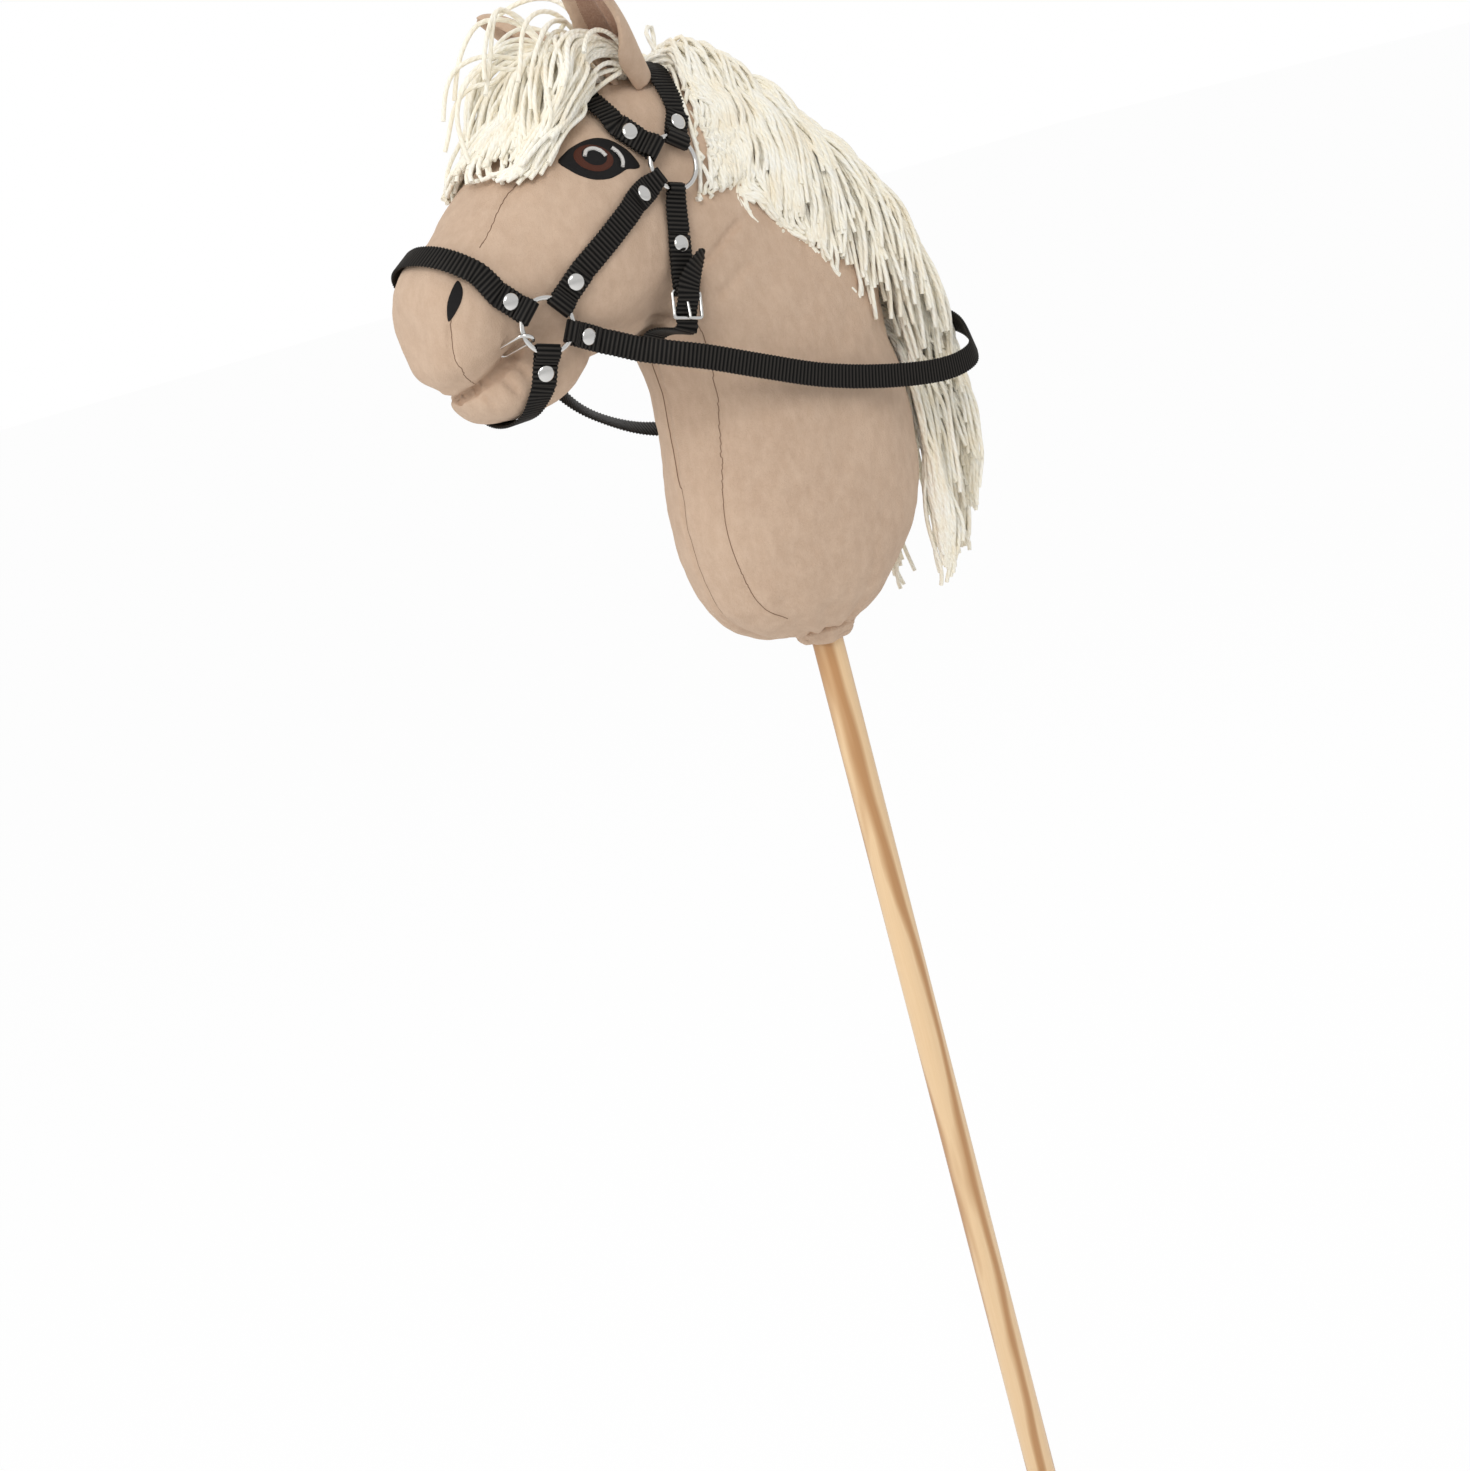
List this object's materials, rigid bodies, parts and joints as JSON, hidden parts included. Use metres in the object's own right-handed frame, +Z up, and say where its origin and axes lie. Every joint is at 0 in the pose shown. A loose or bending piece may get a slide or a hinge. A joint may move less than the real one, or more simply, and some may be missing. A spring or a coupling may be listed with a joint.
{
  "type": "hobby horse",
  "caption": "Stuffed fabric horse's head with yarn mane and webbing bridle on a round wooden stick, with rings that turn and a rein loop that swings.",
  "frame": {"origin": "centre of the stick's lower end", "axes": "+Z up along the stick, -X the way the horse looks, -Y the horse's left side, where the buckle is"},
  "size_m": [0.3685, 0.1609, 1.0578],
  "materials": {
    "velour": "short-pile cotton velour in beige",
    "yarn": "soft twisted wool yarn in cream",
    "webbing": "black ribbed synthetic webbing",
    "chrome": "bright nickel-plated steel",
    "pine": "smooth pine with clear lacquer",
    "thread": "black embroidery thread"
  },
  "bodies": {
    "horse": {"stick": "pine", "cross_peg": "pine", "neck": "velour", "neck_hem": "velour", "hem_tie": "webbing", "head": "velour", "lower_jaw": "velour", "ear_left": "velour", "ear_right": "velour", "eye_left": "thread", "eye_right": "thread", "nostril_left": "thread", "nostril_right": "thread", "noseband": "webbing", "chin_strap": "webbing", "browband": "webbing", "crownpiece": "webbing", "cheek_strap_left": "webbing", "cheek_strap_right": "webbing", "throatlatch_loop": "webbing", "throatlatch": "webbing", "rein_end_left": "webbing", "rein_end_right": "webbing", "buckle_frame": "chrome", "bit": "chrome", "noseband_rivet_left": "chrome", "noseband_rivet_right": "chrome", "chin_rivet_left": "chrome", "chin_rivet_right": "chrome", "browband_rivet_left": "chrome", "browband_rivet_right": "chrome", "crown_rivet_left": "chrome", "crown_rivet_right": "chrome", "throat_rivet_left": "chrome", "throat_rivet_right": "chrome", "cheek_lower_rivet_left": "chrome", "cheek_lower_rivet_right": "chrome", "cheek_upper_rivet_left": "chrome", "cheek_upper_rivet_right": "chrome", "rein_rivet_left": "chrome", "rein_rivet_right": "chrome", "mane": "yarn", "forelock": "yarn"},
    "mouth_ring_left": {"ring_mouth_left": "chrome"},
    "mouth_ring_right": {"ring_mouth_right": "chrome"},
    "temple_ring_left": {"ring_temple_left": "chrome"},
    "temple_ring_right": {"ring_temple_right": "chrome"},
    "prong": {"buckle_prong": "chrome"},
    "rein_loop": {"reins": "webbing"}
  },
  "joints": [
    {"name": "mouth_ring_left_spin", "type": "hinge", "parent": "horse", "child": "mouth_ring_left", "pos_m": [-0.16397, -0.04982, 0.886], "axis": [-0.158, -0.9874, 0], "continuous": true},
    {"name": "mouth_ring_right_spin", "type": "hinge", "parent": "horse", "child": "mouth_ring_right", "pos_m": [-0.16398, 0.0498, 0.886], "axis": [-0.158, 0.9874, 0], "continuous": true},
    {"name": "temple_ring_left_spin", "type": "hinge", "parent": "horse", "child": "temple_ring_left", "pos_m": [-0.0585, -0.05265, 0.9515], "axis": [0, -0.9929, 0.1191], "continuous": true},
    {"name": "temple_ring_right_spin", "type": "hinge", "parent": "horse", "child": "temple_ring_right", "pos_m": [-0.0585, 0.05265, 0.95149], "axis": [0, 0.9929, 0.1191], "continuous": true},
    {"name": "prong_lift", "type": "hinge", "parent": "horse", "child": "prong", "pos_m": [-0.0773, -0.06, 0.88223], "axis": [-0.9655, 0.031, 0.2587], "range_deg": [0, 30]},
    {"name": "reins_swing", "type": "hinge", "parent": "horse", "child": "rein_loop", "pos_m": [-0.12344, 0, 0.86419], "axis": [0, 1, 0], "range_deg": [-28, 0]}
  ]
}
